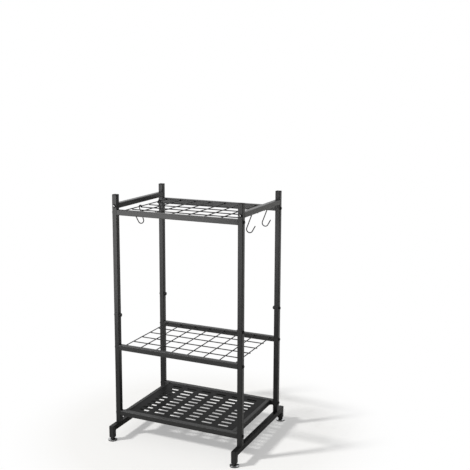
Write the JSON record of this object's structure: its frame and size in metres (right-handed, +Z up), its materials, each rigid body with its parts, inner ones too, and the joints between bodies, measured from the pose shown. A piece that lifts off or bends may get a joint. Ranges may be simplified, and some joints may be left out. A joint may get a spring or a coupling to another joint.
{
  "type": "garden tool rack",
  "caption": "Freestanding tool rack of square tube with wire grids, a slotted tray, levelling feet and hanging S-hooks for long garden tools.",
  "frame": {"origin": "on the floor, under the middle of the rack", "axes": "+Z up, +X to the right along the wide front, -Y towards the front"},
  "size_m": [0.561, 0.501, 0.969],
  "materials": {
    "black_powder_coat": "fine-textured matt black powder coat",
    "black_wire": "satin black powder coat on round wire",
    "black_steel": "blackened steel",
    "zinc_plated_steel": "dull zinc plate",
    "black_plastic": "matt moulded plastic",
    "chromed_disc": "polished chrome",
    "black_rubber": "matt rubber"
  },
  "bodies": {
    "rack": {"foot_bar_bolts": "black_steel", "foot_bar_left": "black_powder_coat", "foot_bar_legs": "black_powder_coat", "foot_bar_right": "black_powder_coat", "foot_inserts": "black_plastic", "lower_post_back_left": "black_powder_coat", "lower_post_back_right": "black_powder_coat", "lower_post_front_left": "black_powder_coat", "lower_post_front_right": "black_powder_coat", "middle_grid_cross_wires": "black_wire", "middle_grid_long_wires": "black_wire", "middle_rail_back": "black_powder_coat", "middle_rail_front": "black_powder_coat", "post_base_plugs": "zinc_plated_steel", "post_caps": "black_plastic", "post_joint_bolts": "black_steel", "post_joint_nuts": "black_steel", "post_joint_spigots": "zinc_plated_steel", "rail_plugs": "zinc_plated_steel", "rail_screws": "black_steel", "side_rail_left": "black_powder_coat", "side_rail_plugs": "zinc_plated_steel", "side_rail_right": "black_powder_coat", "side_rail_screws": "black_steel", "top_grid_cross_wires": "black_wire", "top_grid_long_wires": "black_wire", "top_rail_back": "black_powder_coat", "top_rail_front": "black_powder_coat", "tray_panel": "black_powder_coat", "tray_rail_back": "black_powder_coat", "tray_rail_front": "black_powder_coat", "tray_side_left": "black_powder_coat", "tray_side_right": "black_powder_coat", "upper_post_back_left": "black_powder_coat", "upper_post_back_right": "black_powder_coat", "upper_post_front_left": "black_powder_coat", "upper_post_front_right": "black_powder_coat"},
    "hook_front_left": {"hook_front_left": "black_wire"},
    "hook_back_left": {"hook_back_left": "black_wire"},
    "hook_front_right": {"hook_front_right": "black_wire"},
    "hook_back_right": {"hook_back_right": "black_wire"},
    "foot_front_left": {"foot_disc_front_left": "chromed_disc", "foot_pad_front_left": "black_rubber"},
    "stud_front_left": {"foot_stud_front_left": "black_steel"},
    "foot_back_left": {"foot_disc_back_left": "chromed_disc", "foot_pad_back_left": "black_rubber"},
    "stud_back_left": {"foot_stud_back_left": "black_steel"},
    "foot_front_right": {"foot_disc_front_right": "chromed_disc", "foot_pad_front_right": "black_rubber"},
    "stud_front_right": {"foot_stud_front_right": "black_steel"},
    "foot_back_right": {"foot_disc_back_right": "chromed_disc", "foot_pad_back_right": "black_rubber"},
    "stud_back_right": {"foot_stud_back_right": "black_steel"}
  },
  "joints": [
    {"name": "hook_swing_front_left", "type": "hinge", "parent": "rack", "child": "hook_front_left", "pos_m": [-0.2359, -0.04013, 0.905], "axis": [0, 1, 0], "range_deg": [-75, 90]},
    {"name": "hook_swing_back_left", "type": "hinge", "parent": "rack", "child": "hook_back_left", "pos_m": [-0.2359, 0.1129, 0.905], "axis": [0, 1, 0], "range_deg": [-75, 90]},
    {"name": "hook_swing_front_right", "type": "hinge", "parent": "rack", "child": "hook_front_right", "pos_m": [0.2359, -0.04013, 0.905], "axis": [0, 1, 0], "range_deg": [-90, 75]},
    {"name": "hook_swing_back_right", "type": "hinge", "parent": "rack", "child": "hook_back_right", "pos_m": [0.2359, 0.1129, 0.905], "axis": [0, 1, 0], "range_deg": [-90, 75]},
    {"name": "foot_travel_front_left", "type": "slide", "parent": "rack", "child": "foot_front_left", "axis": [0, 0, -1], "range_m": [0, 0.01]},
    {"name": "foot_turn_front_left", "type": "hinge", "parent": "foot_front_left", "child": "stud_front_left", "pos_m": [-0.2625, -0.2325, 0], "axis": [0, 0, -1], "range_deg": [0, 2880]},
    {"name": "foot_travel_back_left", "type": "slide", "parent": "rack", "child": "foot_back_left", "axis": [0, 0, -1], "range_m": [0, 0.01]},
    {"name": "foot_turn_back_left", "type": "hinge", "parent": "foot_back_left", "child": "stud_back_left", "pos_m": [-0.2625, 0.2325, 0], "axis": [0, 0, -1], "range_deg": [0, 2880]},
    {"name": "foot_travel_front_right", "type": "slide", "parent": "rack", "child": "foot_front_right", "axis": [0, 0, -1], "range_m": [0, 0.01]},
    {"name": "foot_turn_front_right", "type": "hinge", "parent": "foot_front_right", "child": "stud_front_right", "pos_m": [0.2625, -0.2325, 0], "axis": [0, 0, -1], "range_deg": [0, 2880]},
    {"name": "foot_travel_back_right", "type": "slide", "parent": "rack", "child": "foot_back_right", "axis": [0, 0, -1], "range_m": [0, 0.01]},
    {"name": "foot_turn_back_right", "type": "hinge", "parent": "foot_back_right", "child": "stud_back_right", "pos_m": [0.2625, 0.2325, 0], "axis": [0, 0, -1], "range_deg": [0, 2880]}
  ],
  "couplings": [
    {"joint": "foot_turn_front_left", "follows": "foot_travel_front_left", "rad_per_m": 5026.5},
    {"joint": "foot_turn_back_left", "follows": "foot_travel_back_left", "rad_per_m": 5026.5},
    {"joint": "foot_turn_front_right", "follows": "foot_travel_front_right", "rad_per_m": 5026.5},
    {"joint": "foot_turn_back_right", "follows": "foot_travel_back_right", "rad_per_m": 5026.5}
  ]
}
